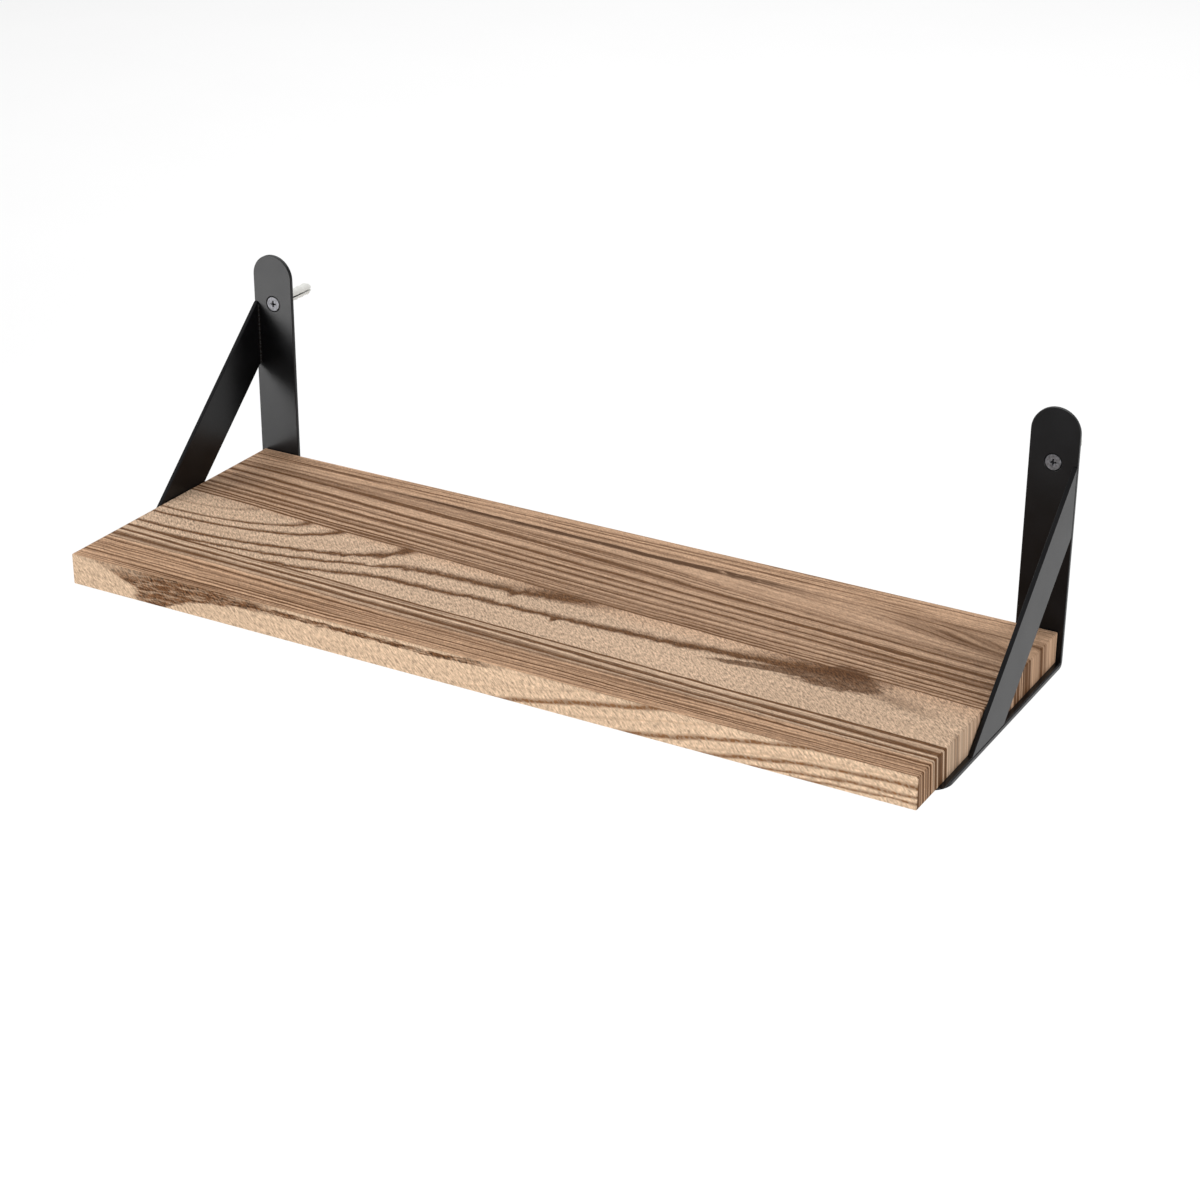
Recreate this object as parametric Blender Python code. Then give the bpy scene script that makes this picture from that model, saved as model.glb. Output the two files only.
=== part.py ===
"""Wall shelf: a solid-wood board on two braced strip-steel wall brackets.

Metres, +Z up. X runs along the wall, +Y goes into the wall and the wall's face is Y = 0.
The origin is on the wall's face, midway between the two wall screws.
"""

import math

import bmesh
import bpy
from mathutils import Matrix, Vector

# The board.
BOARD_LENGTH = 0.420
BOARD_DEPTH = 0.150
BOARD_THICKNESS = 0.015
BOARD_EDGE_ROUND = 0.0006

# The steel strip that both brackets are made of, and where it stands.
STRIP_WIDTH = 0.022
STRIP_THICKNESS = 0.002
BEND_RADIUS = 0.0028  # on the outside of the bend
STRIP_PAST_BOARD_END = 0.0023  # room for the brace, and its gap to the board
UPRIGHT_ABOVE_BOARD = 0.1015
SCREW_ABOVE_BOARD = 0.077
FOOT_REACH = 0.132  # from the wall to the foot's round tip

# The brace: its upper corner is level with the wall screw.
BRACE_WIDTH = 0.0235
BRACE_REACH = 0.102  # from the wall to its front corner on the foot

# Wall screws, 4 x 25 mm, and the 6 x 25 mm plugs they bite into.
WALL_SCREW_LENGTH = 0.025
WALL_SCREW_SHANK = 0.0019
WALL_SCREW_HEAD = 0.0036
WALL_HOLE = 0.00225
COUNTERSINK = 0.0041
PLUG_LENGTH = 0.025
PLUG_RADIUS = 0.003
PLUG_BORE = 0.0022
PLUG_DEPTH_IN_WALL = 0.0023
PLUG_BARBS = 4
PLUG_COLLAR = 0.004
PLUG_VALLEY = 0.0026  # radius between two barbs
PLUG_BARB_BACK = 0.0004  # length of a barb's steep side
PLUG_SLOT = 0.0008

# Board screws, 3.5 x 12 mm, up through the foot.
BOARD_SCREW_LENGTH = 0.012
BOARD_SCREW_SHANK = 0.00175
BOARD_SCREW_HEAD = 0.0034
BOARD_SCREW_HEAD_HEIGHT = 0.0023
FOOT_HOLE = 0.00215
PILOT_HOLE = 0.00205
BOARD_SCREW_FROM_WALL = (0.032, 0.112)

# The cross recess of both kinds of screw.
RECESS_DEPTH = 0.0014
RECESS_ARM = 0.24  # an arm's width, as a share of the recess's size
RECESS_TAPER = 0.45  # the punch's size at its tip, as a share of that at its root
WALL_SCREW_RECESS = 0.0041
BOARD_SCREW_RECESS = 0.0039

# Sides of a turned shape, and flats of a bend, a round end and a screw head's rounded rim.
TURNED_SIDES = 32
BEND_FLATS = 6
ROUND_END_FLATS = 24
RIM_FLATS = 5

# How far a cutter reaches past the surface that it opens.
PAST = 0.001

# Left between pieces that touch, so that each stays its own solid.
GAP = 0.0003

BOARD_TOP = -SCREW_ABOVE_BOARD
BOARD_UNDERSIDE = BOARD_TOP - BOARD_THICKNESS
FOOT_TOP = BOARD_UNDERSIDE - GAP
FOOT_UNDERSIDE = FOOT_TOP - STRIP_THICKNESS
UPRIGHT_FRONT = -STRIP_THICKNESS
UPRIGHT_TOP = BOARD_TOP + UPRIGHT_ABOVE_BOARD
BRACKET_OUTER = BOARD_LENGTH / 2 + STRIP_PAST_BOARD_END
BRACKET_CENTRE = BRACKET_OUTER - STRIP_WIDTH / 2
SIDES = (("left", -1), ("right", 1))


def clear_scene():
    for obj in list(bpy.data.objects):
        bpy.data.objects.remove(obj)


def make_material(name, colour, roughness, metallic):
    material = bpy.data.materials.new(name)
    material.use_nodes = True
    shader = material.node_tree.nodes["Principled BSDF"]
    shader.inputs["Base Color"].default_value = (*colour, 1)
    shader.inputs["Roughness"].default_value = roughness
    shader.inputs["Metallic"].default_value = metallic
    return material


def place(name, mesh, material, location=(0, 0, 0), rotation=(0, 0, 0)):
    """A new object that shows mesh, at its place."""
    obj = bpy.data.objects.new(name, mesh)
    bpy.context.scene.collection.objects.link(obj)
    obj.location = location
    obj.rotation_euler = rotation
    obj.data.materials.clear()
    obj.data.materials.append(material)
    return obj


def mesh_from(name, bm):
    bmesh.ops.recalc_face_normals(bm, faces=bm.faces)
    mesh = bpy.data.meshes.new(name)
    bm.to_mesh(mesh)
    bm.free()
    return mesh


def arc(centre, radius, start, end, steps):
    """Points on a circle's arc, from one angle in degrees to another."""
    points = []
    for i in range(steps + 1):
        angle = math.radians(start + (end - start) * i / steps)
        points.append((centre[0] + radius * math.cos(angle), centre[1] + radius * math.sin(angle)))
    return points


def turned_mesh(name, profile, steps=TURNED_SIDES):
    """A shape turned about Z from (radius, height) points.

    The points start and end on the axis, or close on themselves for a shape with a bore.
    """
    bm = bmesh.new()
    rings = []
    for radius, height in profile:
        if radius == 0:
            rings.append([bm.verts.new((0, 0, height))] * steps)
            continue
        turns = [2 * math.pi * i / steps for i in range(steps)]
        rings.append([bm.verts.new((radius * math.cos(a), radius * math.sin(a), height)) for a in turns])
    bored = profile[0][0] > 0
    for lower, upper in zip(rings, rings[1:] + rings[:1] if bored else rings[1:]):
        for i in range(steps):
            corners = [lower[i - 1], lower[i], upper[i], upper[i - 1]]
            bm.faces.new(list(dict.fromkeys(corners)))
    return mesh_from(name, bm)


def prism_mesh(name, outline, axis, depth, taper=1.0):
    """A flat outline pushed out along axis by depth, its far end scaled by taper.

    The outline's two coordinates are those of the other two axes, in X, Y, Z order.
    """
    bm = bmesh.new()
    others = [i for i in range(3) if i != axis]
    corners = []
    for first, second in outline:
        point = Vector((0, 0, 0))
        point[others[0]] = first
        point[others[1]] = second
        corners.append(bm.verts.new(point))
    near = bm.faces.new(corners)
    far = bmesh.ops.extrude_face_region(bm, geom=[near])["geom"]
    far_points = [v for v in far if isinstance(v, bmesh.types.BMVert)]
    move = Vector((0, 0, 0))
    move[axis] = depth
    bmesh.ops.scale(bm, verts=far_points, vec=Vector((taper, taper, taper)))
    bmesh.ops.translate(bm, verts=far_points, vec=move)
    return mesh_from(name, bm)


def cut(target, cutter):
    """Takes the cutter's shape out of the target, and keeps the cutter out of the model."""
    cutter.hide_render = True
    cutter.display_type = "WIRE"
    boolean = target.modifiers.new(cutter.name, "BOOLEAN")
    boolean.operation = "DIFFERENCE"
    boolean.solver = "EXACT"
    boolean.object = cutter


def shade_round(obj, angle=35):
    obj.data.shade_smooth()
    obj.data.set_sharp_from_angle(angle=math.radians(angle))


def cross_recess(target, size, material):
    """Cuts a tapered cross into a screw's head, whose top is at the screw's own Z = 0."""
    arm = size / 2
    half = size * RECESS_ARM / 2
    quarter = [(half, half), (half, arm), (-half, arm)]
    outline = []
    for turn in range(4):
        spin = Matrix.Rotation(math.radians(90 * turn), 2)
        outline += [tuple(spin @ Vector(point)) for point in quarter]
    mesh = prism_mesh(target.name + "_recess", outline, 2, -RECESS_DEPTH - PAST, taper=RECESS_TAPER)
    tool = place(target.name + "_recess", mesh, material)
    tool.parent = target
    tool.location = (0, 0, PAST)
    cut(target, tool)


def make_board(wood):
    bm = bmesh.new()
    bmesh.ops.create_cube(bm, size=1)
    bmesh.ops.scale(bm, verts=bm.verts, vec=(BOARD_LENGTH, BOARD_DEPTH, BOARD_THICKNESS))
    back = UPRIGHT_FRONT - GAP
    middle = (0, back - BOARD_DEPTH / 2, BOARD_TOP - BOARD_THICKNESS / 2)
    board = place("board", mesh_from("board", bm), wood, middle)
    bevel = board.modifiers.new("soft edges", "BEVEL")
    bevel.width = BOARD_EDGE_ROUND
    bevel.segments = 2
    return board


def strip_mesh():
    """The bracket's strip as bent sheet, outer side only: upright, bend and foot, round at both ends."""
    half = STRIP_WIDTH / 2
    bend_centre = (-BEND_RADIUS, FOOT_UNDERSIDE + BEND_RADIUS)
    bend = arc(bend_centre, BEND_RADIUS, 0, -90, BEND_FLATS)
    bm = bmesh.new()
    rows = []
    for y, z in bend:
        rows.append((bm.verts.new((-half, y, z)), bm.verts.new((half, y, z))))
    for upper, lower in zip(rows, rows[1:]):
        bm.faces.new((upper[0], lower[0], lower[1], upper[1]))
    crown = arc((0, UPRIGHT_TOP - half), half, 0, 180, ROUND_END_FLATS)
    crown_points = [bm.verts.new((x, 0, z)) for x, z in crown]
    bm.faces.new([rows[0][0], rows[0][1]] + crown_points)
    tip = arc((0, -FOOT_REACH + half), half, 180, 360, ROUND_END_FLATS)
    tip_points = [bm.verts.new((x, y, FOOT_UNDERSIDE)) for x, y in tip]
    bm.faces.new([rows[-1][1], rows[-1][0]] + tip_points)
    bmesh.ops.recalc_face_normals(bm, faces=bm.faces)
    if rows[0][0].link_faces[0].normal.y < 0:
        bmesh.ops.reverse_faces(bm, faces=bm.faces)
    mesh = bpy.data.meshes.new("bracket_strip")
    bm.to_mesh(mesh)
    bm.free()
    return mesh


def make_bracket_strip(side, mesh, steel):
    """One strip, thickened inwards, with its countersunk wall hole and two foot holes."""
    label, sign = side
    centre = sign * BRACKET_CENTRE
    strip = place("bracket_strip_" + label, mesh, steel, (centre, 0, 0))
    solidify = strip.modifiers.new("strip thickness", "SOLIDIFY")
    solidify.thickness = STRIP_THICKNESS
    solidify.offset = -1
    solidify.use_even_offset = True
    slope_end = COUNTERSINK - WALL_HOLE
    profile = [
        (0, -PAST),
        (COUNTERSINK, -PAST),
        (COUNTERSINK, 0),
        (WALL_HOLE, slope_end),
        (WALL_HOLE, STRIP_THICKNESS + PAST),
        (0, STRIP_THICKNESS + PAST),
    ]
    drill = turned_mesh("wall_hole", profile)
    into_wall = (math.radians(-90), 0, 0)
    front = (centre, UPRIGHT_FRONT, 0)
    cut(strip, place("wall_hole_" + label, drill, steel, front, into_wall))
    for number, reach in enumerate(BOARD_SCREW_FROM_WALL):
        low = -PAST
        high = STRIP_THICKNESS + PAST
        profile = [(0, low), (FOOT_HOLE, low), (FOOT_HOLE, high), (0, high)]
        drill = turned_mesh("foot_hole", profile)
        spot = (centre, -reach, FOOT_UNDERSIDE)
        cut(strip, place(f"foot_hole_{label}_{number}", drill, steel, spot))
    return strip


def brace_mesh():
    """The brace's side outline in Y and Z: upright cut behind, level cut below."""
    rear = UPRIGHT_FRONT - GAP
    bottom = FOOT_TOP + GAP
    top = BOARD_TOP + SCREW_ABOVE_BOARD
    slope = math.atan2(top - bottom, BRACE_REACH + rear)
    outline = [
        (rear, top),
        (-BRACE_REACH, bottom),
        (-BRACE_REACH + BRACE_WIDTH / math.sin(slope), bottom),
        (rear, top - BRACE_WIDTH / math.cos(slope)),
    ]
    return prism_mesh("brace", outline, 0, STRIP_THICKNESS)


def make_brace(side, mesh, steel):
    """Stands on the foot at the bracket's outer edge, its outer face flush with the strip's."""
    label, sign = side
    start = BRACKET_OUTER - STRIP_THICKNESS if sign > 0 else -BRACKET_OUTER
    return place("brace_" + label, mesh, steel, (start, 0, 0))


def make_wall_screw(side, zinc):
    """Countersunk screw, its head flush with the upright's front face."""
    label, sign = side
    head_depth = WALL_SCREW_HEAD - WALL_SCREW_SHANK
    point = 0.004
    profile = [
        (0, 0),
        (WALL_SCREW_HEAD, 0),
        (WALL_SCREW_SHANK, -head_depth),
        (WALL_SCREW_SHANK, point - WALL_SCREW_LENGTH),
        (0, -WALL_SCREW_LENGTH),
    ]
    mesh = turned_mesh("wall_screw", profile)
    out_of_wall = (math.radians(90), 0, 0)
    front = (sign * BRACKET_CENTRE, UPRIGHT_FRONT, 0)
    screw = place("wall_screw_" + label, mesh, zinc, front, out_of_wall)
    cross_recess(screw, WALL_SCREW_RECESS, zinc)
    shade_round(screw)
    return screw


def make_wall_plug(side, plastic):
    """Barbed plug, split down the middle from its far end, its mouth just under the wall's face."""
    label, sign = side
    step = (PLUG_LENGTH - 2 * PLUG_COLLAR) / PLUG_BARBS
    profile = [(PLUG_BORE, 0), (PLUG_RADIUS, 0), (PLUG_RADIUS, PLUG_COLLAR)]
    for barb in range(PLUG_BARBS):
        start = PLUG_COLLAR + barb * step
        profile += [(PLUG_VALLEY, start + PLUG_BARB_BACK), (PLUG_RADIUS, start + step)]
    profile += [(PLUG_VALLEY, PLUG_LENGTH), (PLUG_BORE, PLUG_LENGTH)]
    mesh = turned_mesh("wall_plug", profile)
    into_wall = (math.radians(-90), 0, 0)
    mouth = (sign * BRACKET_CENTRE, PLUG_DEPTH_IN_WALL, 0)
    plug = place("wall_plug_" + label, mesh, plastic, mouth, into_wall)
    slot_start = 2 * PLUG_COLLAR
    slot_end = PLUG_LENGTH + PAST
    reach = PLUG_RADIUS + PAST
    outline = [(-reach, slot_start), (reach, slot_start), (reach, slot_end), (-reach, slot_end)]
    slot_mesh = prism_mesh("plug_slot", outline, 1, PLUG_SLOT)
    slot = place("plug_slot_" + label, slot_mesh, plastic)
    slot.parent = plug
    slot.location = (0, -PLUG_SLOT / 2, 0)
    cut(plug, slot)
    shade_round(plug)
    return plug


def make_board_screw(name, centre, reach, board, zinc):
    """Pan-head screw from below, and the pilot hole that it fills in the board."""
    head_top = BOARD_SCREW_HEAD_HEIGHT
    round_over = 0.0012
    point = 0.003
    dome = arc((BOARD_SCREW_HEAD - round_over, -round_over), round_over, 90, 0, RIM_FLATS)
    profile = [(0, 0)] + dome + [(BOARD_SCREW_HEAD, -head_top)]
    profile += [
        (BOARD_SCREW_SHANK, -head_top),
        (BOARD_SCREW_SHANK, point - head_top - BOARD_SCREW_LENGTH),
        (0, -head_top - BOARD_SCREW_LENGTH),
    ]
    mesh = turned_mesh("board_screw", profile)
    seat = FOOT_UNDERSIDE - GAP
    upside_down = (math.radians(180), 0, 0)
    screw = place(name, mesh, zinc, (centre, -reach, seat - head_top), upside_down)
    cross_recess(screw, BOARD_SCREW_RECESS, zinc)
    shade_round(screw)
    low = BOARD_UNDERSIDE - PAST
    high = seat + BOARD_SCREW_LENGTH + GAP
    drill = turned_mesh("pilot", [(0, 0), (PILOT_HOLE, 0), (PILOT_HOLE, high - low), (0, high - low)], 24)
    cut(board, place(name + "_pilot", drill, zinc, (centre, -reach, low)))
    return screw


clear_scene()
wood = make_material("board_wood", (0.48, 0.33, 0.21), 0.62, 0.0)
steel = make_material("powder_coated_steel", (0.022, 0.022, 0.024), 0.42, 0.0)
zinc = make_material("zinc_plated_steel", (0.42, 0.42, 0.43), 0.34, 1.0)
plastic = make_material("plug_nylon", (0.78, 0.78, 0.75), 0.5, 0.0)

board = make_board(wood)
bent = strip_mesh()
strut = brace_mesh()
for side in SIDES:
    make_bracket_strip(side, bent, steel)
    make_brace(side, strut, steel)
    make_wall_screw(side, zinc)
    make_wall_plug(side, plastic)
    for place_name, reach in zip(("back", "front"), BOARD_SCREW_FROM_WALL):
        screw_name = f"board_screw_{side[0]}_{place_name}"
        make_board_screw(screw_name, side[1] * BRACKET_CENTRE, reach, board, zinc)
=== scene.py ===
"""Wall shelf with two braced steel brackets: its looks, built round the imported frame."""

import math

import bmesh
import bpy
from mathutils import Euler, Matrix, Vector


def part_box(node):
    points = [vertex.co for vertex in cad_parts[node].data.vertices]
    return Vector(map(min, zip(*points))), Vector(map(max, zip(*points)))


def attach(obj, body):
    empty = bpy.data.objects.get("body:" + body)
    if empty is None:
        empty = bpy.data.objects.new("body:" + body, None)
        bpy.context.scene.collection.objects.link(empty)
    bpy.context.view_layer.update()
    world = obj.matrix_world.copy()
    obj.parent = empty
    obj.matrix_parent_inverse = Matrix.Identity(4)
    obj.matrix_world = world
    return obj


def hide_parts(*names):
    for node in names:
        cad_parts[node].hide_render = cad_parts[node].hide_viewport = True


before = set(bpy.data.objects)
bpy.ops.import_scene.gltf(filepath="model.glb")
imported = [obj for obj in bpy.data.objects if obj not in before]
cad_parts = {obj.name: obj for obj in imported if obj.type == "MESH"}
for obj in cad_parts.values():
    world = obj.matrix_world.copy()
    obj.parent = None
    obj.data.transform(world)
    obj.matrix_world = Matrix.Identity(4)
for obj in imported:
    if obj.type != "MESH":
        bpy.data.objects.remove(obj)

scene = bpy.context.scene
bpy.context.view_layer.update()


# ---- Camera -------------------------------------------------------------------------------
# A long lens a little over a metre away, to the right of the shelf and above it, turned back
# to the left. Its place is measured from the point midway between the two wall screws.
CAMERA_PLACE = (0.5541, -1.0128, 0.4299)
CAMERA_AZIMUTH = math.radians(29.48)
CAMERA_TILT = math.radians(25.17)
CAMERA_ROLL = math.radians(0.33)
CAMERA_LENS = 81.0
CAMERA_SENSOR = 36.0

camera = bpy.data.objects.new("camera", bpy.data.cameras.new("camera"))
scene.collection.objects.link(camera)
camera.data.lens = CAMERA_LENS
camera.data.sensor_width = CAMERA_SENSOR
camera.data.clip_start = 0.05
camera.data.clip_end = 60.0
camera.location = CAMERA_PLACE
level_look = Euler((math.pi / 2 - CAMERA_TILT, 0, CAMERA_AZIMUTH)).to_matrix()
camera.rotation_euler = (level_look @ Matrix.Rotation(CAMERA_ROLL, 3, "Z")).to_euler()
scene.camera = camera


# ---- Floor --------------------------------------------------------------------------------
# The pale studio floor, a painted sheet far below the shelf, so that no shadow of the shelf
# is in the picture. Its paint is rolled on, which leaves a very slight mottle.
FLOOR_DROP = 0.9
FLOOR_SIDE = 40.0
FLOOR_WHITE = (0.93, 0.93, 0.93)
FLOOR_WHITER = (0.95, 0.95, 0.95)


class Wire:
    """A value or colour on its way through a material, so that sums are written as sums."""

    def __init__(self, finish, socket):
        self.finish = finish
        self.socket = socket

    def math(self, operation, *others):
        return self.finish.node("ShaderNodeMath", {"operation": operation}, (self, *others))

    def __add__(self, other):
        return self.math("ADD", other)

    def __sub__(self, other):
        return self.math("SUBTRACT", other)

    def __mul__(self, other):
        return self.math("MULTIPLY", other)

    def __truediv__(self, other):
        return self.math("DIVIDE", other)

    def __pow__(self, other):
        return self.math("POWER", other)

    def __rsub__(self, other):
        return self * -1 + other

    __radd__ = __add__
    __rmul__ = __mul__


class Finish:
    """One material. node() adds a node to it and gives that node's output."""

    def __init__(self, name, **shader_values):
        self.material = bpy.data.materials.new(name)
        self.material.use_nodes = True
        self.nodes = self.material.node_tree.nodes
        self.links = self.material.node_tree.links
        self.shader = self.nodes["Principled BSDF"]
        for socket, value in shader_values.items():
            self.set(self.shader.inputs[socket.replace("_", " ")], value)

    def set(self, socket, value):
        if isinstance(value, Wire):
            self.links.new(value.socket, socket)
        elif socket.type == "RGBA":
            socket.default_value = (*value, 1)
        else:
            socket.default_value = value

    def node(self, kind, settings=None, values=(), output=0):
        node = self.nodes.new(kind)
        for name, setting in (settings or {}).items():
            if name == "stops":
                ramp = node.color_ramp.elements
                while len(ramp) < len(setting):
                    ramp.new(1)
                for element, (place, colour) in zip(ramp, setting):
                    element.position = place
                    element.color = (*colour, 1)
            else:
                setattr(node, name, setting)
        pairs = values.items() if isinstance(values, dict) else enumerate(values)
        for socket, value in pairs:
            self.set(node.inputs[socket], value)
        return Wire(self, node.outputs[output])

    def place(self):
        """x, y and z on the object, in metres."""
        where = self.node("ShaderNodeTexCoord", output="Object")
        return [self.node("ShaderNodeSeparateXYZ", None, [where], axis) for axis in "XYZ"]

    def noise(self, x, y, z=0.0, detail=2.0, roughness=0.5):
        """Cloudy noise from 0 to 1, one cloud to a unit of x, y and z."""
        spot = self.node("ShaderNodeCombineXYZ", None, [x, y, z])
        values = {"Vector": spot, "Scale": 1.0, "Detail": detail, "Roughness": roughness}
        return self.node("ShaderNodeTexNoise", None, values)

    def climb(self, value, start, end, kind="LINEAR"):
        """0 before start, 1 past end, and a straight climb between."""
        values = {"Value": value, "From Min": start, "From Max": end}
        return self.node("ShaderNodeMapRange", {"interpolation_type": kind}, values)

    def ease(self, value, start, end):
        """0 before start, 1 past end, and a smooth climb between."""
        return self.climb(value, start, end, "SMOOTHSTEP")

    def blend(self, factor, colour, other):
        """The colour where the factor is 0, and the other where it is 1."""
        mixer = {"data_type": "RGBA"}
        return self.node("ShaderNodeMix", mixer, {0: factor, 6: colour, 7: other}, 2)

    def shade(self, colour, factor):
        """The colour, made lighter or darker by a factor."""
        values = {"Vector": colour, "Scale": factor}
        return self.node("ShaderNodeVectorMath", {"operation": "SCALE"}, values)

    def bump(self, height, depth):
        """The height, from 0 to 1, as relief of that depth in metres."""
        bump = self.node("ShaderNodeBump", None, {"Height": height, "Distance": depth})
        self.set(self.shader.inputs["Normal"], bump)


floor_paint = Finish("floor_paint", Roughness=0.9, Specular_IOR_Level=0.1)
x, y, z = floor_paint.place()
mottle = floor_paint.noise(x * 3, y * 3)
paint = floor_paint.blend(mottle, FLOOR_WHITE, FLOOR_WHITER)
floor_paint.set(floor_paint.shader.inputs["Base Color"], paint)

bpy.ops.object.select_all(action="DESELECT")
bpy.ops.mesh.primitive_plane_add(size=FLOOR_SIDE, location=(0, 0, -FLOOR_DROP))
floor = bpy.context.object
floor.name = "floor"
bpy.ops.object.transform_apply(location=True, rotation=True, scale=True)
floor.data.materials.append(floor_paint.material)


# ---- Light --------------------------------------------------------------------------------
# A tall soft box to the left and in front, which the left bracket mirrors and which throws the
# brace's soft shadow, a weak one to the right, a wide one overhead, and an even pale surround.
SURROUND = 0.52
KEY_RADIANCE = 7.8
FILL_RADIANCE = 2.6
OVERHEAD_RADIANCE = 1.3


def soft_box(name, place, aim, width, height, radiance):
    """A flat lamp, width by height, of an even radiance, turned from its place to its aim."""
    lamp = bpy.data.objects.new(name, bpy.data.lights.new(name, "AREA"))
    scene.collection.objects.link(lamp)
    lamp.data.shape = "RECTANGLE"
    lamp.data.size = width
    lamp.data.size_y = height
    lamp.data.energy = radiance * math.pi * width * height
    lamp.location = place
    lamp.rotation_euler = (Vector(aim) - Vector(place)).to_track_quat("-Z", "Y").to_euler()
    lamp.visible_camera = False
    return lamp


scene.world = bpy.data.worlds.new("surround")
scene.world.use_nodes = True
surround = scene.world.node_tree.nodes["Background"]
surround.inputs["Color"].default_value = (1, 1, 1, 1)
surround.inputs["Strength"].default_value = SURROUND
scene.view_settings.view_transform = "Standard"

soft_box("key", (-1.12, -1.22, 0.03), (-0.2, 0, -0.02), 0.62, 1.35, KEY_RADIANCE)
soft_box("fill", (1.6, -0.9, 0.1), (0.2, -0.1, -0.08), 0.9, 0.9, FILL_RADIANCE)
soft_box("overhead", (-1.0, 3.0, 3.2), (-1.0, 2.8, 0.0), 7.0, 6.0, OVERHEAD_RADIANCE)


# ---- Board --------------------------------------------------------------------------------
# One plank of soft, open-grained wood, planed, its corners just eased with sandpaper, and left
# with no gloss. Two blind pilot holes at each end of its underside take the board screws.
SIDES = ("left", "right")
ROWS = ("back", "front")
MM = 1000.0
EASED_EDGE = 0.0007
PILOT_HOLE = 0.00205
PILOT_DEPTH = 0.0097
PILOT_POINT = 0.0001
PAST = 0.001
WOOD_SHINE = 0.04
GRAIN_RELIEF = 0.00024
board_low, board_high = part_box("board")
board_size = board_high - board_low
board_length = board_size.x * MM
board_width = board_size.y * MM
screw_names = [f"board_screw_{side}_{row}" for side in SIDES for row in ROWS]


def add_piece(name):
    """Gives the object just added a name, puts its place into its mesh and opens its edit mode."""
    piece = bpy.context.object
    piece.name = name
    piece.data.name = name
    bpy.ops.object.transform_apply(location=True, rotation=True, scale=True)
    bpy.ops.object.mode_set(mode="EDIT")
    return piece


def add_block(name, low, high):
    """A box between two corners, left in edit mode."""
    bpy.ops.object.select_all(action="DESELECT")
    bpy.ops.mesh.primitive_cube_add(size=1, location=(low + high) / 2, scale=high - low)
    return add_piece(name)


def pick(kind, test):
    """In edit mode, selects the verts, edges or faces that pass the test, and no others."""
    modes = {"verts": "VERT", "edges": "EDGE", "faces": "FACE"}
    bpy.ops.mesh.select_mode(type=modes[kind])
    bpy.ops.mesh.select_all(action="DESELECT")
    data = bpy.context.object.data
    mesh = bmesh.from_edit_mesh(data)
    for part in getattr(mesh, kind):
        if test(part):
            part.select_set(True)
    mesh.select_flush_mode()
    bmesh.update_edit_mesh(data)


def middle(part):
    """The middle of an edge or a face."""
    places = [vert.co for vert in part.verts]
    return sum(places, Vector()) / len(places)


def close_edit():
    """Turns every face outwards and leaves edit mode."""
    bpy.ops.mesh.select_all(action="SELECT")
    bpy.ops.mesh.normals_make_consistent(inside=False)
    bpy.ops.object.mode_set(mode="OBJECT")


def turn(name, start, axis, rings, sides=32):
    """A piece as a lathe turns it: rings are (distance along the axis, radius), from its start."""
    bpy.ops.object.select_all(action="DESELECT")
    way = Vector(axis)
    lean = way.to_track_quat("Z", "Y").to_euler()
    along, radius = rings[0]
    spot = Vector(start) + way * along
    bpy.ops.mesh.primitive_circle_add(
        vertices=sides, radius=radius, fill_type="NGON", location=spot, rotation=lean
    )
    piece = add_piece(name)
    bpy.ops.mesh.select_mode(type="FACE")
    bpy.ops.mesh.select_all(action="SELECT")
    for next_along, next_radius in rings[1:]:
        move = way * (next_along - along)
        spot = spot + move
        bpy.ops.mesh.extrude_region_move(TRANSFORM_OT_translate={"value": move})
        size = (next_radius / radius,) * 3
        bpy.ops.transform.resize(value=size, center_override=spot)
        along, radius = next_along, next_radius
    close_edit()
    return piece


def cut_away(piece, *cutters):
    """Cuts the cutters' shapes out of the piece and throws the cutters away."""
    for cutter in cutters:
        boolean = piece.modifiers.new("cut", "BOOLEAN")
        boolean.operation = "DIFFERENCE"
        boolean.solver = "EXACT"
        boolean.object = cutter
        bpy.context.view_layer.objects.active = piece
        bpy.ops.object.modifier_apply(modifier=boolean.name)
        bpy.data.objects.remove(cutter)


def ease_edges(piece, width, segments=2, angle=35.0):
    """Rounds every sharp edge of the piece over."""
    bevel = piece.modifiers.new("eased", "BEVEL")
    bevel.width = width
    bevel.segments = segments
    bevel.limit_method = "ANGLE"
    bevel.angle_limit = math.radians(angle)
    bevel.use_clamp_overlap = False
    bpy.context.view_layer.objects.active = piece
    bpy.ops.object.modifier_apply(modifier=bevel.name)


def shade(piece, angle=35.0):
    """Shades the flats flat and the rounds round."""
    bpy.ops.object.select_all(action="DESELECT")
    piece.select_set(True)
    bpy.context.view_layer.objects.active = piece
    bpy.ops.object.shade_smooth_by_angle(angle=math.radians(angle))
    weighted = piece.modifiers.new("weighted", "WEIGHTED_NORMAL")
    weighted.keep_sharp = True
    bpy.ops.object.modifier_apply(modifier=weighted.name)


def hand_over(piece, node, slot, *finishes):
    """The piece stands for the CAD node, rides on the same body and takes the finishes."""
    piece.data.materials.clear()
    for finish in finishes:
        piece.data.materials.append(finish.material)
    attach(piece, "root")
    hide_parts(node)


def ring_lines(wood, value, start, end, rings):
    """Dark growth lines across a value. Each ring is (place, half width, darkness); a line comes
    on softly from one side and stops short on the other."""
    stops = [(0.0, (0, 0, 0))]
    for spot, half_width, dark in rings:
        for shift, level in ((-2.5 * half_width, 0), (0, dark), (1.6 * half_width, 0)):
            place = (spot + shift - start) / (end - start)
            stops.append((max(place, stops[-1][0] + 0.0002), (level, level, level)))
    share = wood.climb(value, start, end)
    ramp = wood.node("ShaderNodeValToRGB", {"stops": stops}, {"Fac": share})
    return (wood.node("ShaderNodeSeparateColor", None, [ramp]) * 1.2).math("MINIMUM", 1.0)


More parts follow.
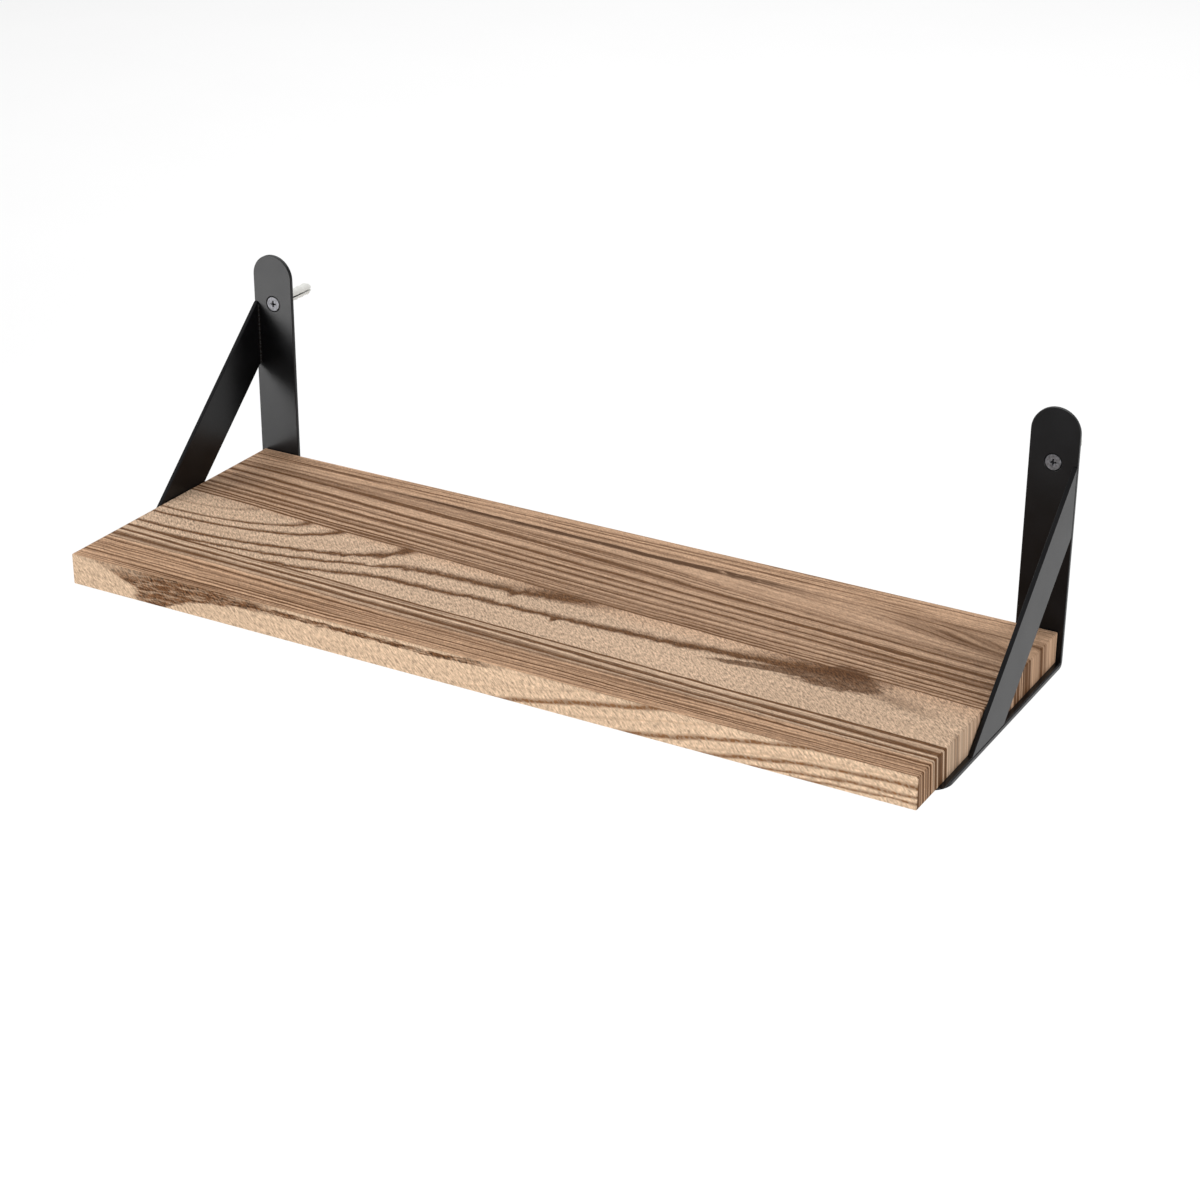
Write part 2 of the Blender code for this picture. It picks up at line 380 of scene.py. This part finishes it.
# The plain-sawn faces: straight lines at the back and the front, and between them the arches
# of a flat-sawn log, which end at the right in a dark stain round a hidden knot.
BACK_RINGS = (
    (18.9, 0.70, 0.45), (23.0, 0.85, 0.85), (30.5, 0.90, 0.90), (36.2, 0.75, 0.75),
    (41.0, 0.85, 0.90), (47.8, 0.75, 0.75), (52.0, 0.70, 0.75), (55.5, 0.50, 0.75),
    (57.9, 0.50, 0.75), (60.6, 0.55, 1.00),
)
ARCH_RINGS = (
    (8.0, 0.50, 0.12), (14.0, 0.60, 0.35), (19.0, 0.50, 0.12), (24.0, 0.75, 0.80),
    (30.0, 0.80, 0.95), (36.5, 0.60, 0.12), (42.5, 0.95, 1.00), (49.5, 0.90, 0.95),
    (57.5, 1.05, 1.00),
)
FRONT_RINGS = (
    (110.0, 0.85, 1.00), (115.3, 0.80, 1.00), (120.5, 0.90, 1.00), (123.6, 0.45, 0.45),
    (127.5, 0.65, 0.65), (131.8, 0.45, 0.35), (135.5, 0.55, 0.50), (138.8, 0.40, 0.35),
    (142.0, 0.60, 0.55), (145.8, 0.45, 0.45),
)
ARCH_LINE = 61.0
ARCH_POINT = 1.75
BACK_WOOD = (0.470, 0.308, 0.203)
ARCH_WOOD = (0.495, 0.352, 0.245)
FRONT_WOOD = (0.515, 0.326, 0.206)
RING_WOOD = (0.140, 0.066, 0.029)
BOLD_WOOD = (0.070, 0.030, 0.012)
KNOT_WOOD = (0.110, 0.050, 0.022)


def blot(wood, along, across, middle_along, middle_across, length, width, turned=0.0):
    """How far out of a slanting oval a point is: 0 at its middle and 1 on its rim."""
    cosine, sine = math.cos(math.radians(turned)), math.sin(math.radians(turned))
    off_along = along - middle_along
    off_across = across - middle_across
    longways = (off_along * cosine + off_across * sine) / length
    crossways = (off_across * cosine - off_along * sine) / width
    return (longways * longways + crossways * crossways) ** 0.5


def tooth(wood, along, place, reach, depth):
    """A small ragged notch of the growth lines at one place along the board."""
    return (1 - wood.ease((along - place).math("ABSOLUTE"), 0.0, reach)) * depth


def face_grain():
    wood = Finish("board_face_grain", Specular_IOR_Level=WOOD_SHINE)
    x, y, z = wood.place()
    along = (x - board_low.x) * MM
    across = (board_high.y - y) * MM + (board_high.z - z) * (0.12 * MM)
    wander = (wood.noise(along * 0.010, across * 0.045) - 0.5) * 3.0
    waver = (wood.noise(along * 0.09, across * 0.30, 4.0, detail=3.0) - 0.5) * 1.3
    line = across + wander + waver

    # The lines fan towards the front as they run to the right, most in the back half.
    past_middle = wood.climb(line, 50.0, 150.0)
    fan = wood.ease(line, 4.0, 44.0) * (1 - past_middle * past_middle) * 26.0
    fan = fan + wood.ease(line, 119.0, 132.0) * (1 - wood.ease(line, 138.0, 150.0)) * 5.0
    level = line - fan * (along / board_length)

    # The arches: rings round the left end, drawn out along the board, with a few ragged teeth.
    jag = (wood.noise(along * 0.15, level * 0.06, 3.0, detail=4.0, roughness=0.6) - 0.5) * 7.0
    teeth = tooth(wood, along, 109.0, 4.0, 2.6) + tooth(wood, along, 125.0, 4.0, 3.0)
    near_side = wood.ease(level, 84.0, 88.0)
    teeth = (teeth + tooth(wood, along, 196.5, 4.5, 3.6)) * (1 - near_side)
    teeth = teeth + tooth(wood, along, 225.5, 2.6, 3.6) * near_side
    rise = level - ARCH_LINE - teeth + jag * wood.ease(along, 30.0, 110.0)
    reach = (along * 0.325).math("SMOOTH_MIN", along * 0.060 + 36.0, 4.0)
    radius = (rise.math("ABSOLUTE") ** ARCH_POINT + reach ** ARCH_POINT) ** (1 / ARCH_POINT)
    arches = ring_lines(wood, radius, 0.0, 70.0, ARCH_RINGS)
    in_arches = wood.ease(level, 60.4, 61.6) * (1 - wood.ease(level, 108.4, 109.8))

    straight = ring_lines(wood, level, 15.0, 65.0, BACK_RINGS)
    straight = straight + ring_lines(wood, level, 105.0, 150.0, FRONT_RINGS)
    broken = wood.noise(along * 0.13, across * 0.7, 9.0, detail=4.0, roughness=0.75)
    rings = arches * in_arches + straight * (1 - in_arches)
    sawn_end = wood.ease(along, board_length - 0.8, board_length - 0.2)
    rings = rings * (0.35 + broken * 1.5) * (1 + sawn_end * 0.6)

    # One bold line near the back edge, blotchy, and faint at both its ends.
    bold = (level - 14.2 + wood.ease(along, 220.0, 300.0) * 1.3).math("ABSOLUTE")
    bold = (1 - wood.ease(bold - broken * 1.2, 0.0, 0.8)) * wood.ease(along, 45.0, 120.0)
    blotchy = wood.noise(along * 0.11, across * 0.2, 8.0, detail=3.0, roughness=0.7)
    bold = bold * wood.ease(blotchy, 0.22, 0.44) * (1 - wood.ease(along, 265.0, 335.0) * 0.9)

    # Fine lines between the rings, closest together along both long edges.
    fine = wood.noise(along * 0.006, level * 0.62, 2.0, detail=3.0, roughness=0.6)
    edges = (1 - wood.ease(level, 10.0, 16.0)) + wood.ease(level, 123.0, 127.0)
    fine_dark = wood.ease(fine, 0.45, 0.62) * (0.50 + edges * 0.25) * (1 - in_arches * 0.8)
    hair = wood.noise(along * 0.008, level * 1.5, 7.0, detail=2.0, roughness=0.6)
    fine_dark = fine_dark + wood.ease(hair, 0.50, 0.60) * 0.34 * (1 - in_arches)
    fine_dark = fine_dark + sawn_end * wood.ease(fine, 0.50, 0.60) * 0.45

    # The stain of the hidden knot: a peaked blot that grows out of the last arch, with a tail
    # that trails off to the right.
    ragged = wood.noise(along * 0.14, across * 0.32, 6.0, detail=4.0, roughness=0.7) - 0.5
    knot = blot(wood, along, across, 357.0, 91.0, 26.0, 9.0, -3.0)
    knot = knot.math("SMOOTH_MIN", blot(wood, along, across, 359.0, 84.0, 13.0, 9.5), 0.5)
    knot = knot.math("SMOOTH_MIN", blot(wood, along, across, 334.0, 93.0, 40.0, 3.2, -9.0), 0.5)
    knot = 1 - wood.ease(knot + ragged * 1.2, 0.60, 1.00)
    tail = blot(wood, along, across, 384.0, 95.0, 30.0, 6.5, 14.0)
    tail = (1 - wood.ease(tail + ragged * 1.5, 0.1, 1.1)) * 0.5
    stain = (knot.math("MAXIMUM", tail) + knot * 0.25).math("MINIMUM", 1.0)
    stain = stain * (0.80 + wood.ease(ragged, -0.15, 0.10) * 0.20)

    # Fibres: long flecks in the straight wood, short slanting ones in the arches.
    fibre = wood.noise(along * 0.18, across * 1.3, detail=3.0, roughness=0.75)
    slanting = wood.noise((along + across) * 0.25, (across - along) * 0.85, 5.0,
                          detail=3.0, roughness=0.7)
    flecks = fibre + (slanting - fibre) * (0.45 + in_arches * 0.45)
    flecks = (flecks - 0.5) * (2.9 + in_arches * 1.1) + 0.5
    cloud = wood.noise(along * 0.012, across * 0.06, 3.0)

    edge_brown = (1 - wood.ease(level, 8.0, 18.0)) * 0.6
    timber = wood.blend(edge_brown, BACK_WOOD, FRONT_WOOD)
    timber = wood.blend(wood.ease(level, 58.0, 63.0 + along * 0.055), timber, ARCH_WOOD)
    timber = wood.blend(wood.ease(level, 122.0, 126.0), timber, FRONT_WOOD)
    pale_band = wood.ease(level, 107.0, 110.0) * (1 - wood.ease(level, 120.5, 122.5)) * 0.14
    timber = wood.shade(timber, 0.50 + pale_band + flecks * 1.0 + cloud * 0.36)
    dark = (rings * 0.95 + fine_dark).math("MINIMUM", 1.0)
    timber = wood.blend(dark, timber, wood.shade(RING_WOOD, 0.5 + flecks))
    timber = wood.blend(bold * 0.9, timber, BOLD_WOOD)
    timber = wood.blend(stain * 0.92, timber, wood.shade(KNOT_WOOD, 0.4 + flecks * 1.2))
    wood.set(wood.shader.inputs["Base Color"], timber)
    wood.set(wood.shader.inputs["Roughness"], 0.70 - dark * 0.10 + (flecks - 0.5) * 0.20)
    wood.bump(flecks * 0.5 - dark * 0.5, GRAIN_RELIEF)
    return wood


# The long edges cut across the arches: pale short-fleckled wood, a dark stain at the left end
# and a few lines that climb to the left.
EDGE_RINGS = (
    (55.5, 0.30, 0.15), (61.0, 0.85, 1.00), (67.0, 0.40, 0.20), (73.4, 0.75, 1.00),
    (78.0, 0.40, 0.20), (80.6, 0.70, 0.95), (84.8, 0.55, 0.85), (87.6, 0.50, 0.80),
)
EDGE_WOOD = (0.610, 0.435, 0.295)


def edge_grain():
    wood = Finish("board_edge_grain", Specular_IOR_Level=WOOD_SHINE)
    x, y, z = wood.place()
    along = (x - board_low.x) * MM
    down = (board_high.z - z) * MM
    waver = (wood.noise(along * 0.05, down * 0.22, 1.0, detail=4.0, roughness=0.6) - 0.5) * 3.4
    slope = along.math("SMOOTH_MIN", 378.0, 60.0) * 0.2
    rings = ring_lines(wood, down + slope + waver, 50.0, 95.0, EDGE_RINGS)

    # The stain: a column at the left that leans away at its top, and a long thin tail.
    ragged = wood.noise(along * 0.16, down * 0.6, 6.0, detail=4.0, roughness=0.7) - 0.5
    left_side = (down * 2.9).math("MINIMUM", 25.0) + 10.0
    left_side = wood.ease(along - left_side + ragged * 12.0, -1.0, 4.0)
    sweep = ((along - 60.0) / -22.0).math("MINIMUM", 1.0).math("EXPONENT") * 8.0 + 3.1
    under = wood.ease(down - sweep + ragged * 4.5, -0.5, 0.9)
    column = left_side * (1 - under) * (1 - wood.ease(along, 92.0, 125.0))
    faded = (1 - wood.ease(along + down * 4.0, 28.0, 60.0)) * 0.45
    tail = wood.ease(along, 190.0, 232.0) * 1.9 - 2.5
    tail = (down + tail + ragged * 3.2).math("ABSOLUTE")
    tail = (1 - wood.ease(tail, 0.8, 1.5)) * wood.ease(along, 70.0, 95.0)
    tail = tail * (1 - wood.ease(along, 212.0, 236.0))
    stain = (column * (1 - faded)).math("MAXIMUM", tail)

    fleck = wood.noise((along + down) * 0.28, (down - along) * 0.75, 5.0,
                       detail=3.0, roughness=0.7)
    fleck = (fleck - 0.5) * 4.2 + 0.5
    fibre = wood.noise(along * 0.05, down * 1.2, 7.0, detail=2.0)
    cloud = wood.noise(along * 0.02, down * 0.10, 3.0)
    # Painted shade: the edge's colour is made darker towards its left end and lighter towards its
    # right, to even out the key lamp, which lights the left end more strongly.
    painted_shade_slope = 0.79 + along * (0.28 / board_length)
    timber = wood.shade(EDGE_WOOD, (0.50 + fleck * 0.66 + fibre * 0.20 + cloud * 0.20) * painted_shade_slope)
    rings = (rings * (0.35 + fleck * 1.2)).math("MINIMUM", 1.0)
    timber = wood.blend(rings, timber, wood.shade(RING_WOOD, 0.7 + fleck))
    streak = wood.noise(along * 0.10 + down * 0.25, down * 0.9, 2.0, detail=4.0, roughness=0.7)
    stain = stain * (0.50 + wood.ease(streak, 0.36, 0.56) * 0.50)
    timber = wood.blend(stain, timber, wood.shade(KNOT_WOOD, 0.3 + fleck * 1.5))
    wood.set(wood.shader.inputs["Base Color"], timber)
    wood.set(wood.shader.inputs["Roughness"], 0.72 - rings * 0.08 + (fleck - 0.5) * 0.20)
    wood.bump(fleck * 0.5 - rings * 0.4, GRAIN_RELIEF)
    return wood


board = add_block("board_plank", board_low, board_high)
pick("edges", lambda edge: True)
bpy.ops.mesh.bevel(offset=EASED_EDGE, segments=3, affect="EDGES")
close_edit()
pilots = []
for screw_name in screw_names:
    low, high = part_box(screw_name)
    centre = (low + high) / 2
    mouth = Vector((centre.x, centre.y, board_low.z))
    rings = ((-PAST, PILOT_HOLE), (PILOT_DEPTH - PILOT_HOLE, PILOT_HOLE),
             (PILOT_DEPTH, PILOT_POINT))
    pilots.append(turn("pilot", mouth, (0, 0, 1), rings))
cut_away(board, *pilots)
shade(board)
hand_over(board, "board", "board_wood", face_grain(), edge_grain())
for face in board.data.polygons:
    if abs(face.normal.y) > 0.7:
        face.material_index = 1


# ---- Bracket strips -----------------------------------------------------------------------
# Flat steel strip, cropped to a round end, bent once into an L, and drilled: a countersunk hole
# in the upright for the wall screw and two plain holes in the foot. Then the whole bracket is
# powder coated black, which rounds its edges a little and leaves a fine orange peel.
STRIP_THICKNESS = 0.002
BEND_RADIUS = 0.0028
BEND_STEPS = 10
ROUND_END_STEPS = 20
ROUND_END_SHARE = 0.998
COAT_EDGE = 0.00028
HOLE_EDGE = 0.00006
COUNTERSINK = 0.0041
WALL_HOLE = 0.00225
FOOT_HOLE = 0.00215
HOLE_SIDES = 40
SINK_SIDES = 48
COAT_DARK = (0.0024, 0.0024, 0.0028)
COAT_LIGHT = (0.0044, 0.0044, 0.0052)


def powder_coat():
    coat = Finish("powder_coat", Specular_IOR_Level=0.24)
    x, y, z = [axis * MM for axis in coat.place()]
    peel = coat.noise(x * 1.6, y * 1.6, z * 1.6, detail=2.0)
    speck = coat.noise(x * 5.0, y * 5.0, z * 5.0, detail=1.0)
    haze = coat.noise(x * 0.08, y * 0.08, z * 0.08, detail=3.0)
    tone = coat.blend(coat.ease(haze, 0.3, 0.7), COAT_DARK, COAT_LIGHT)
    coat.set(coat.shader.inputs["Base Color"], coat.shade(tone, 0.85 + speck * 0.3))
    coat.set(coat.shader.inputs["Roughness"], 0.24 + haze * 0.09 + speck * 0.04)
    coat.bump(peel * 0.8 + speck * 0.2, 0.000035)
    return coat


coat = powder_coat()
for side in SIDES:
    low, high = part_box(f"bracket_strip_{side}")
    half_width = (high.x - low.x) / 2
    middle_x = (high.x + low.x) / 2
    bend_y, bend_z = high.y - BEND_RADIUS, low.z + BEND_RADIUS
    strip = add_block(
        f"bracket_strip_{side}_coated",
        Vector((low.x, high.y - STRIP_THICKNESS, bend_z)), high,
    )
    pick("faces", lambda face: face.normal.z < -0.9)
    bpy.ops.mesh.spin(
        steps=BEND_STEPS, angle=math.pi / 2, center=(0, bend_y, bend_z), axis=(1, 0, 0)
    )
    pick("faces", lambda face: face.normal.y < -0.9 and middle(face).z < bend_z)
    to_tip = (0, low.y - bend_y, 0)
    bpy.ops.mesh.extrude_region_move(TRANSFORM_OT_translate={"value": to_tip})
    corner = half_width * ROUND_END_SHARE
    round_end = {"offset": corner, "segments": ROUND_END_STEPS, "affect": "EDGES"}
    pick("edges", lambda edge: abs(middle(edge).x - middle_x) > half_width * 0.99
         and all(abs(vert.co.z - high.z) < 1e-5 for vert in edge.verts))
    bpy.ops.mesh.bevel(**round_end)
    pick("edges", lambda edge: abs(middle(edge).x - middle_x) > half_width * 0.99
         and all(abs(vert.co.y - low.y) < 1e-5 for vert in edge.verts))
    bpy.ops.mesh.bevel(**round_end)
    close_edit()
    # The outline is rounded over before the holes are drilled, so that it leaves them alone.
    ease_edges(strip, COAT_EDGE)

    head_low, head_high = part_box(f"wall_screw_{side}")
    front = Vector((middle_x, high.y - STRIP_THICKNESS, (head_low.z + head_high.z) / 2))
    sink = COUNTERSINK - WALL_HOLE
    rings = ((-PAST, COUNTERSINK + PAST), (sink, WALL_HOLE), (2 * STRIP_THICKNESS, WALL_HOLE))
    drills = [turn("drill", front, (0, 1, 0), rings, SINK_SIDES)]
    for row in ROWS:
        screw_low, screw_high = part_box(f"board_screw_{side}_{row}")
        hole = (screw_low + screw_high) / 2
        hole.z = low.z
        rings = ((-PAST, FOOT_HOLE), (STRIP_THICKNESS + PAST, FOOT_HOLE))
        drills.append(turn("drill", hole, (0, 0, 1), rings, HOLE_SIDES))
    cut_away(strip, *drills)
    ease_edges(strip, HOLE_EDGE, 1, 40.0)
    shade(strip)
    hand_over(strip, f"bracket_strip_{side}", "powder_coated_steel", coat)


# ---- Braces -------------------------------------------------------------------------------
# A shorter length of the same strip, set on edge across the corner of each bracket, mitred to
# sit against the upright and on the foot, and held by a bead of weld inside both corners. It
# is coated together with its bracket.
BRACE_WIDTH = 0.0235
BEAD_RADIUS = 0.0008
BEAD_STEP = 0.0009
BEAD_RIPPLE = 0.10
BEAD_FROM_EDGE = 0.002
BEAD_TO_EDGE = 0.001


def join(name, pieces):
    """Makes one piece of several, with its place in its mesh."""
    bpy.ops.object.select_all(action="DESELECT")
    for piece in pieces:
        piece.select_set(True)
    bpy.context.view_layer.objects.active = pieces[0]
    bpy.ops.object.join()
    bpy.context.object.name = name
    bpy.ops.object.transform_apply(location=True, rotation=True, scale=True)


def bead(name, start, end):
    """A bead of weld in a corner: one overlapping ripple after another, melted together."""
    ripples = []
    count = round((end - start).length / BEAD_STEP)
    for step in range(count + 1):
        swell = BEAD_RADIUS * (1 + BEAD_RIPPLE * math.sin(step * 2.4))
        bpy.ops.mesh.primitive_uv_sphere_add(
            segments=12, ring_count=8, radius=swell, location=start.lerp(end, step / count)
        )
        ripples.append(bpy.context.object)
    join(name, ripples)
    melted = bpy.context.object
    remesh = melted.modifiers.new("melted", "REMESH")
    remesh.mode = "VOXEL"
    remesh.voxel_size = BEAD_RADIUS * 0.25
    remesh.use_smooth_shade = True
    bpy.ops.object.modifier_apply(modifier=remesh.name)
    return melted


for side in SIDES:
    low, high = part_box(f"brace_{side}")
    strip_low, strip_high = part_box(f"bracket_strip_{side}")
    top_corner = Vector((0, high.y, high.z))
    slope = (Vector((0, low.y, low.z)) - top_corner).normalized()
    square_on = Vector((0, slope.z, -slope.y))
    brace = add_block(f"brace_{side}_coated", low, high)
    under = top_corner - square_on * BRACE_WIDTH
    for start, clear in ((top_corner, "clear_outer"), (under, "clear_inner")):
        bpy.ops.mesh.select_all(action="SELECT")
        bpy.ops.mesh.bisect(plane_co=start, plane_no=square_on, use_fill=True, **{clear: True})
    close_edit()
    ease_edges(brace, COAT_EDGE, 3)
    shade(brace)
    inner_x = low.x if side == "right" else high.x
    brace_foot = BRACE_WIDTH / -slope.z
    brace_back = BRACE_WIDTH / -slope.y
    upright_y = strip_high.y - STRIP_THICKNESS
    foot_z = strip_low.z + STRIP_THICKNESS
    upper = bead("bead", Vector((inner_x, upright_y, high.z - BEAD_FROM_EDGE)),
                 Vector((inner_x, upright_y, high.z - brace_back + BEAD_TO_EDGE)))
    lower = bead("bead", Vector((inner_x, low.y + BEAD_FROM_EDGE, foot_z)),
                 Vector((inner_x, low.y + brace_foot - BEAD_TO_EDGE, foot_z)))
    join(brace.name, [brace, upper, lower])
    hand_over(bpy.context.object, f"brace_{side}", "powder_coated_steel", coat)


# ---- Screws -------------------------------------------------------------------------------
# Zinc-plated wood screws with a cross recess: two countersunk ones through the uprights into
# the wall plugs, and four short pan-headed ones up through the feet into the board. Each is
# headed cold, its recess punched and its thread rolled.
CROSS_ARM = 0.0022
CROSS_WIDTH = 0.00115
CROSS_DEPTH = 0.0018
CROSS_TAPER = 0.42
THREAD_SIDES = 20
SCREW_SIDES = 40
SCREW_EDGE = 0.00008
NECK_SLOPE = 0.0008
THREAD_GAP = 0.0012
THREAD_BURIED = 0.0001
POINT_IN_CORES = 4
ZINC_DARK = (0.10, 0.10, 0.105)
ZINC_LIGHT = (0.20, 0.20, 0.215)
SINK_HEAD = ((0.0, 0.0034), (0.0002, 0.0036), (0.0004, 0.0036), (0.0022, 0.0017))
PAN_HEAD = (
    (0.0, 0.0021), (0.0002, 0.0026), (0.0006, 0.0030), (0.0011, 0.0033), (0.0017, 0.0034),
    (0.0022, 0.0034), (0.0023, 0.0033), (0.0023, 0.0015),
)
WALL_THREAD = {"core": 0.0013, "crest": 0.0019, "pitch": 0.0016}
BOARD_THREAD = {"core": 0.0012, "crest": 0.00175, "pitch": 0.0014}


def zinc_plate():
    zinc = Finish("zinc_plate", Metallic=1.0)
    x, y, z = [axis * MM for axis in zinc.place()]
    bloom = zinc.noise(x * 0.9, y * 0.9, z * 0.9, detail=3.0)
    grit = zinc.noise(x * 9.0, y * 9.0, z * 9.0, detail=2.0)
    tone = zinc.blend(zinc.ease(bloom, 0.3, 0.7), ZINC_DARK, ZINC_LIGHT)
    zinc.set(zinc.shader.inputs["Base Color"], zinc.shade(tone, 0.85 + grit * 0.3))
    zinc.set(zinc.shader.inputs["Roughness"], 0.40 + bloom * 0.20)
    zinc.bump(grit, 0.00002)
    return zinc


def cross_punch(spot, way):
    """The two wedges that punch a cross recess, from the head's face inwards."""
    across = Vector((1, 0, 0))
    up = way.cross(across)
    wedges = []
    for arm, width in ((across, up), (up, across)):
        mouth = [abs(a) * CROSS_ARM + abs(b) * CROSS_WIDTH / 2 for a, b in zip(arm, width)]
        reach = Vector(mouth) + Vector(abs(a) * CROSS_DEPTH for a in way)
        wedge = add_block("wedge", spot - reach, spot + reach)
        pick("faces", lambda face: face.normal.dot(way) > 0.9)
        centre = spot + way * CROSS_DEPTH
        bpy.ops.transform.resize(value=(CROSS_TAPER,) * 3, center_override=centre)
        close_edit()
        wedges.append(wedge)
    return wedges


def thread(name, spot, way, core, crest, pitch, length):
    """A sharp ridge wound round a screw's core, closed at both ends."""
    turns = round(length / pitch)
    ridge = (crest - core + THREAD_BURIED) / 1.5
    bpy.ops.object.select_all(action="DESELECT")
    stand_up = Matrix(((0, 1, 0), (0, 0, 1), (1, 0, 0))).to_euler()
    bpy.ops.mesh.primitive_circle_add(
        vertices=3, radius=ridge, fill_type="NOTHING", rotation=stand_up,
        location=(crest - ridge, 0, 0),
    )
    ridge_piece = add_piece(name)
    bpy.ops.object.mode_set(mode="OBJECT")
    wind = ridge_piece.modifiers.new("wound", "SCREW")
    wind.angle = math.tau * turns
    wind.screw_offset = pitch * turns
    wind.steps = wind.render_steps = THREAD_SIDES * turns
    wind.use_merge_vertices = False
    bpy.ops.object.modifier_apply(modifier=wind.name)
    bpy.ops.object.mode_set(mode="EDIT")
    bpy.ops.mesh.select_mode(type="EDGE")
    bpy.ops.mesh.select_all(action="DESELECT")
    bpy.ops.mesh.select_non_manifold()
    bpy.ops.mesh.edge_face_add()
    close_edit()
    ridge_piece.rotation_euler = way.to_track_quat("Z", "Y").to_euler()
    ridge_piece.location = spot
    bpy.ops.object.transform_apply(location=True, rotation=True, scale=True)
    return ridge_piece


def screw(node, way, head, core, crest, pitch):
    """A whole screw along the CAD screw's own length, head first, handed over."""
    low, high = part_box(node)
    spot = (low + high) / 2
    length = abs((high - low).dot(way))
    spot = spot - way * (length / 2)
    neck = head[-1][0]
    point = POINT_IN_CORES * core
    shank = ((neck + NECK_SLOPE, core), (length - point, core),
             (length - point * 0.4, core * 0.6), (length, SCREW_EDGE))
    body = turn(f"{node}_zinc", spot, way, head + shank, SCREW_SIDES)
    cut_away(body, *cross_punch(spot, way))
    ease_edges(body, SCREW_EDGE, 1, 50.0)
    wound = thread("thread", spot + way * (neck + THREAD_GAP), way, core, crest, pitch,
                   length - neck - THREAD_GAP - point * 0.7)
    for part in (body, wound):
        shade(part, 40.0)
    join(body.name, [body, wound])
    hand_over(bpy.context.object, node, "zinc_plated_steel", zinc)


zinc = zinc_plate()
for side in SIDES:
    screw(f"wall_screw_{side}", Vector((0, 1, 0)), SINK_HEAD, **WALL_THREAD)
for node in screw_names:
    screw(node, Vector((0, 0, 1)), PAN_HEAD, **BOARD_THREAD)


# ---- Wall plugs ---------------------------------------------------------------------------
# Off-white moulded nylon plugs, which sit in the drilled wall. A screw driven into the bore
# spreads the two halves of the slotted body, so that the barbs grip.
PLUG_BORE = 0.0022
PLUG_WAIST = 0.00258
PLUG_SLOT = 0.0008
PLUG_BARBS = 4
PLUG_SIDES = 40
PLUG_EDGE = 0.00010
COLLAR_EDGE = 0.0003
COLLAR_SHARE = 0.16
BARBED_SHARE = 0.92
SLOT_SHARE = 0.28
BORE_SHARE = 0.85
NYLON = (0.78, 0.78, 0.74)


def moulded_nylon():
    nylon = Finish("moulded_nylon", Specular_IOR_Level=0.5)
    x, y, z = [axis * MM for axis in nylon.place()]
    flow = nylon.noise(x * 0.5, y * 0.12, z * 0.5, detail=3.0)
    grain = nylon.noise(x * 4.0, y * 4.0, z * 4.0, detail=2.0)
    tone = nylon.shade(NYLON, 0.90 + flow * 0.14 + grain * 0.04)
    nylon.set(nylon.shader.inputs["Base Color"], tone)
    nylon.set(nylon.shader.inputs["Roughness"], 0.40 + grain * 0.15)
    nylon.bump(grain, 0.00003)
    return nylon


nylon = moulded_nylon()
for side in SIDES:
    node = f"wall_plug_{side}"
    low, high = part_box(node)
    spot = Vector(((low.x + high.x) / 2, low.y, (low.z + high.z) / 2))
    widest = (high.z - low.z) / 2
    length = high.y - low.y
    collar = length * COLLAR_SHARE
    barb = (length * BARBED_SHARE - collar) / PLUG_BARBS
    rings = [(0.0, widest * 0.96), (COLLAR_EDGE, widest), (collar - COLLAR_EDGE, widest),
             (collar, PLUG_WAIST)]
    for number in range(PLUG_BARBS):
        foot = collar + number * barb
        rings += [(foot + barb * 0.25, PLUG_WAIST), (foot + barb * 0.92, widest),
                  (foot + barb, PLUG_WAIST)]
    rings.append((length, PLUG_WAIST * 0.8))
    plug = turn(f"{node}_nylon", spot, (0, 1, 0), rings, PLUG_SIDES)
    bore = ((-PAST, PLUG_BORE), (length * BORE_SHARE, PLUG_BORE), (length * 0.9, PLUG_BORE * 0.6))
    slot_low = spot + Vector((-widest * 2, length * SLOT_SHARE, -PLUG_SLOT / 2))
    slot_high = spot + Vector((widest * 2, length * 1.1, PLUG_SLOT / 2))
    slot = add_block("slot", slot_low, slot_high)
    close_edit()
    cut_away(plug, turn("bore", spot, (0, 1, 0), bore, PLUG_SIDES), slot)
    ease_edges(plug, PLUG_EDGE, 1, 40.0)
    shade(plug)
    hand_over(plug, node, "plug_nylon", nylon)
